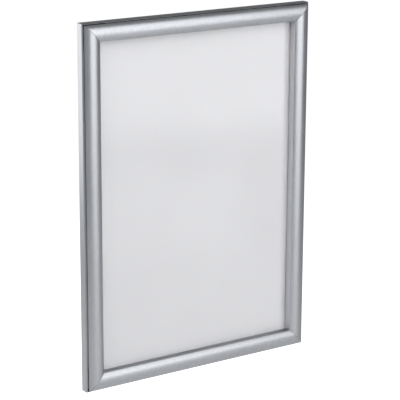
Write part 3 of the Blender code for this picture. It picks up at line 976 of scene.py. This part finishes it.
def makeRails():
    sweep = mitredSweep()
    baseTree, coverTree = baseRailTree(sweep), coverRailTree(sweep)
    baseMesh = sectionMesh("baseSection", baseOutline())
    coverMesh = sectionMesh("coverSection", coverOutline())
    heelReach = coverProfile["heelOutside"] + coverProfile["toeReach"]
    beadTop = hingePoint[1] + coverProfile["beadRadius"] + coverProfile["neckPlay"]
    blockLength = coverProfile["relief"] + rail["overrun"]
    made = {}
    for side in inwards:
        shared = {
            "Length": railLength(side), "Gap": rail["mitreGap"],
            "Hinge Rise": baseProfile["hingeRise"], "Back Cut": 0.0,
            "Finish": levelMetal if side in ("Top", "Bottom") else uprightMetal,
            "Cut Finish": cutMetal,
        }
        base = grow("baseExtrusion" + side, baseMesh, baseTree, {
            **shared, "Hole Place": (0, screwHole["across"], 0),
            "Hole Setback": screwHole["setback"], "Hole Radius": screwHole["radius"],
            "Head Radius": screwHole["headRadius"],
            "Land": screwHole["land"], "Web": baseProfile["web"]})
        cover = grow("coverExtrusion" + side, coverMesh, coverTree, {
            **shared, "Back Cut": math.radians(coverProfile["backCut"]),
            "Relief": coverProfile["relief"],
            "Relief Size": (blockLength, hingePoint[0] + heelReach, beadTop),
            "Relief Middle": (0, (hingePoint[0] + heelReach) / 2, beadTop / 2)})
        for piece, kind, body in ((base, "base_rail_", "base_frame"),
                                  (cover, "cover_rail_", side.lower() + "_cover")):
            breakEdges(piece, rail["sawEdge"])
            smoothFaces(piece)
            piece.data.transform(railPlace(side))
            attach(piece, body)
            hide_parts(kind + side.lower())
            made[piece.name] = piece
    return made


rails = makeRails()
print("rails made:", {name: len(piece.data.polygons) for name, piece in rails.items()})


# Leaf springs

spring = {
    "length": 44 * mm,
    "thickness": 0.4 * mm,
    "bow": 1.2 * mm,
    "corner": 1.5 * mm,
    "edge": 0.06 * mm,
    "bends": 12,                    # flats round the bow
    "placeShare": 0.27,             # from the rail's end to the spring's middle
    "gap": 0.3 * mm,
}


def springStrip():
    # a rounded strip, flat first, then rolled onto the arc between its groove and the cover's toe
    stand = spring["gap"] + spring["thickness"] / 2
    foot = Vector((baseProfile["ribOutside"] - stand, baseProfile["web"] + stand))
    radius = coverProfile["heelOutside"] + stand
    _, toeTop = heelAngles()
    head = Vector(polar(hingePoint, radius, toeTop + math.degrees(math.asin(stand / radius))))
    halfChord = (head - foot).length / 2
    bend = (halfChord ** 2 + spring["bow"] ** 2) / (2 * spring["bow"])
    direction = (head - foot).normalized()
    outward = Vector((direction.y, -direction.x))
    centre = (foot + head) / 2 - outward * (bend - spring["bow"])
    start, end = bearing(centre, foot), bearing(centre, head)
    width = bend * math.radians(abs(end - start))

    half = spring["length"] / 2
    corner = spring["corner"]
    bm = bmesh.new()
    outline = rounded([((-half, 0), corner), ((half, 0), corner),
                       ((half, width), corner), ((-half, width), corner)])
    bm.faces.new([bm.verts.new((x, s, 0)) for x, s in outline])
    bends = spring["bends"]
    for index in range(1, bends):
        bmesh.ops.bisect_plane(bm, geom=bm.verts[:] + bm.edges[:] + bm.faces[:],
                               plane_co=(0, width * index / bends, 0), plane_no=(0, 1, 0))
    for vert in bm.verts:
        across, out = polar(centre, bend, start + (end - start) * vert.co.y / width)
        vert.co = (vert.co.x, across, out)
    piece = newObject("springStrip", meshOf(bm, "springStrip"))
    thick = piece.modifiers.new("thickness", "SOLIDIFY")
    thick.thickness = spring["thickness"]
    thick.offset = 0
    settle(piece)
    breakEdges(piece, spring["edge"])
    return piece


def makeSprings():
    blank = springStrip()
    tree = pairTree()
    for side in inwards:
        distance = railLength(side) * (0.5 - spring["placeShare"])
        piece = grow("leafSprings" + side, blank.data.copy(), tree,
                     {"Distance": distance, "Finish": springSteel})
        smoothFaces(piece)
        piece.data.transform(railPlace(side))
        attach(piece, "base_frame")
        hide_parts(*["leaf_spring_" + side.lower() + end for end in ("_a", "_b")])
    bpy.data.objects.remove(blank)


makeSprings()
print("springs made")


# Corner angles

cornerAngle = {
    "leg": 30 * mm,
    "thickness": 1.6 * mm,
    "outerCorner": 2.0 * mm,
    "corner": 0.5 * mm,
    "hole": 1.5 * mm,
    "holeSides": 32,
    "holeSetback": 6 * mm,
    "edge": 0.2 * mm,
}


def angleOutline(near, far):
    end = near + cornerAngle["leg"]
    others = ((end, near), (end, far), (far, far), (far, end), (near, end))
    return rounded([((near, near), cornerAngle["outerCorner"])]
                   + [(place, cornerAngle["corner"]) for place in others])


def makeCornerAngles():
    gap = spring["gap"]
    near = baseProfile["wall"] + gap
    far = baseProfile["ribOutside"] - gap
    back = baseProfile["web"] + gap
    holeEnd, holeMiddle = near + cornerAngle["leg"] - cornerAngle["holeSetback"], (near + far) / 2
    for vertical, up in (("top", 1), ("bottom", -1)):
        for level, right in (("left", -1), ("right", 1)):
            bm = bmesh.new()
            face = bm.faces.new([bm.verts.new((x, -back, z)) for x, z in angleOutline(near, far)])
            pulled = bmesh.ops.extrude_face_region(bm, geom=[face])
            front = [item for item in pulled["geom"] if isinstance(item, bmesh.types.BMVert)]
            bmesh.ops.translate(bm, vec=(0, -cornerAngle["thickness"], 0), verts=front)
            bmesh.ops.recalc_face_normals(bm, faces=bm.faces)
            name = "cornerAngle" + vertical.capitalize() + level.capitalize()
            piece = newObject(name, meshOf(bm, "angle"))
            for x, z in ((holeEnd, holeMiddle), (holeMiddle, holeEnd)):
                punch(piece, (x, -back, z), cornerAngle["hole"])
            breakEdges(piece, cornerAngle["edge"], angle=50)
            corner = Vector((right * frameWidth / 2, 0, frameMiddle.z + up * frameHeight / 2))
            mirror = Matrix.Diagonal((-right, 1, -up, 1))
            piece.data.transform(Matrix.Translation(corner) @ mirror)
            if right * up < 0:
                piece.data.flip_normals()
            smoothFaces(piece)
            piece.data.materials.clear()
            piece.data.materials.append(plateSteel)
            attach(piece, "base_frame")
            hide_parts(f"corner_bracket_{vertical}_{level}")


def punch(piece, place, radius):
    # a round hole through a plate that lies across Y
    bm = bmesh.new()
    bmesh.ops.create_cone(bm, cap_ends=True, segments=cornerAngle["holeSides"], radius1=radius,
                          radius2=radius, depth=2 * rail["overrun"])
    bmesh.ops.rotate(bm, verts=bm.verts, cent=(0, 0, 0), matrix=Matrix.Rotation(math.pi / 2, 3, "X"))
    bmesh.ops.translate(bm, verts=bm.verts, vec=place)
    tool = newObject("punch", meshOf(bm, "punch"))
    boolean = piece.modifiers.new("hole", "BOOLEAN")
    boolean.operation = "DIFFERENCE"
    boolean.solver = "EXACT"
    boolean.object = tool
    settle(piece)
    bpy.data.objects.remove(tool)


makeCornerAngles()
print("corner angles made")


# Insert: these nodes keep their shape and get their finish

insert = {"backing_panel": whiteStyrene, "poster": posterPaper, "clear_sheet": clearFilm}

for name, finish in insert.items():
    mesh = nodes[name].data
    mesh.materials.clear()
    mesh.materials.append(finish())
print("insert finished")


# Studio

studio = {
    "floorHeight": -0.70,
    "floorColour": (0.90, 0.90, 0.90, 1),
    "floorMottle": (0.885, 0.885, 0.885, 1),
    "floorClouds": {"Scale": 2.0, "Low": 0.3, "High": 0.7},
    "floorRoughness": 0.8,
    "floorSize": 40,
    "floorGlow": 0.80,              # seen by the camera only
    "worldColour": (0.97, 0.985, 1, 1),
    "world": 0.40,
    "worldDark": 0.17,
    "darkSide": (0.60, 0.25, 0.76),     # up, to the right and a little behind
    "darkFrom": 0.20,
    "darkTo": 0.60,
    "white": (1, 1, 1, 1),
}


def makeFloor():
    bm = bmesh.new()
    bmesh.ops.create_grid(bm, x_segments=1, y_segments=1, size=studio["floorSize"] / 2)
    bmesh.ops.translate(bm, verts=bm.verts, vec=(0, 0, studio["floorHeight"]))
    floor = newObject("floor", meshOf(bm, "floor"))
    made, tree, shader, place = newMaterial("paleFloor")
    mottle = group(tree, softBlotches, Vector=place, **studio["floorClouds"])
    feed(tree, shader, Roughness=studio["floorRoughness"],
         Base_Color=blendColour(tree, mottle, studio["floorColour"], studio["floorMottle"]))
    light = tree.nodes.new("ShaderNodeLightPath")
    glow = addNode(tree, "ShaderNodeEmission",
                   {"Color": studio["white"], "Strength": studio["floorGlow"]})
    seen = addNode(tree, "ShaderNodeAddShader")
    tree.links.new(shader.outputs[0], seen.inputs[0])
    tree.links.new(glow.outputs[0], seen.inputs[1])
    chooseShader(tree, light.outputs["Is Camera Ray"], shader.outputs[0], seen.outputs[0],
                 "Material Output")
    floor.data.materials.append(made)


# azimuth 0 is straight in front, and a negative tilt looks down
softboxes = {
    "keyBox": {"azimuth": 16.5, "distance": 1.24, "rise": 0.165, "width": 1.34, "height": 1.24,
               "radiance": 1.58, "tilt": -8},
    "lowBox": {"azimuth": 21, "distance": 1.20, "rise": -0.58, "width": 0.74, "height": 0.18,
               "radiance": 0.75, "tilt": 0},
    "rearLeftBox": {"azimuth": -145, "distance": 1.30, "rise": -0.04, "width": 1.6, "height": 0.90,
                    "radiance": 1.3, "tilt": 0},
    "rearBox": {"azimuth": -176, "distance": 1.50, "rise": 0.30, "width": 1.2, "height": 0.9,
                "radiance": 1.7, "tilt": -18},
    "highLeftBox": {"azimuth": -40, "distance": 1.60, "rise": 1.50, "width": 2.0, "height": 1.6,
                    "radiance": 2.0, "tilt": -43},
}


def makeSoftbox(name, azimuth, distance, rise, width, height, radiance, tilt):
    # an area light on a circle round the frame, facing its axis
    angle = math.radians(azimuth)
    data = bpy.data.lights.new(name, "AREA")
    data.shape = "RECTANGLE"
    data.size = width
    data.size_y = height
    data.energy = radiance * math.pi * width * height
    lamp = newObject(name, data)
    lamp.location = (distance * math.sin(angle), -distance * math.cos(angle), rise)
    lamp.rotation_euler = (math.radians(90 + tilt), 0, angle)
    lamp.visible_camera = False


def makeWorld():
    world = bpy.data.worlds.new("studio")
    bpy.context.scene.world = world
    world.use_nodes = True
    tree = world.node_tree
    ground = tree.nodes["Background"]
    direction = tree.nodes.new("ShaderNodeTexCoord").outputs["Generated"]
    toDark = addNode(tree, "ShaderNodeVectorMath",
                     {"Vector": direction, "Vector_001": studio["darkSide"]},
                     operation="DOT_PRODUCT").outputs["Value"]
    level = addNode(tree, "ShaderNodeMapRange", {
        "Value": toDark, "From Min": studio["darkFrom"], "From Max": studio["darkTo"],
        "To Min": studio["world"], "To Max": studio["worldDark"]},
        interpolation_type="SMOOTHSTEP").outputs[0]
    ground.inputs["Color"].default_value = studio["worldColour"]
    tree.links.new(level, ground.inputs["Strength"])
    white = addNode(tree, "ShaderNodeBackground", {"Color": studio["white"], "Strength": 1.0})
    seen = tree.nodes.new("ShaderNodeLightPath").outputs["Is Camera Ray"]
    chooseShader(tree, seen, ground.outputs[0], white.outputs[0], "World Output")


makeFloor()
makeWorld()
for name, values in softboxes.items():
    makeSoftbox(name, **values)


# Camera, fitted to the frame's edges in the photograph

camera = {
    "place": (-1.0971, -1.6409, 0.3136),
    "yaw": 33.977,
    "pitch": 15.134,
    "roll": 0.260,
    "lens": 151.12,
    "sensor": 36,
    "farthest": 100,
}


def makeCamera():
    data = bpy.data.cameras.new("camera")
    data.lens = camera["lens"]
    data.sensor_width = camera["sensor"]
    data.clip_end = camera["farthest"]
    seen = newObject("camera", data)
    seen.matrix_world = (
        Matrix.Translation(camera["place"])
        @ Matrix.Rotation(math.radians(-camera["yaw"]), 4, "Z")
        @ Matrix.Rotation(math.radians(90 - camera["pitch"]), 4, "X")
        @ Matrix.Rotation(math.radians(camera["roll"]), 4, "Z"))
    bpy.context.scene.camera = seen


makeCamera()
bpy.context.scene.view_settings.view_transform = "Standard"
print("studio and camera ready")
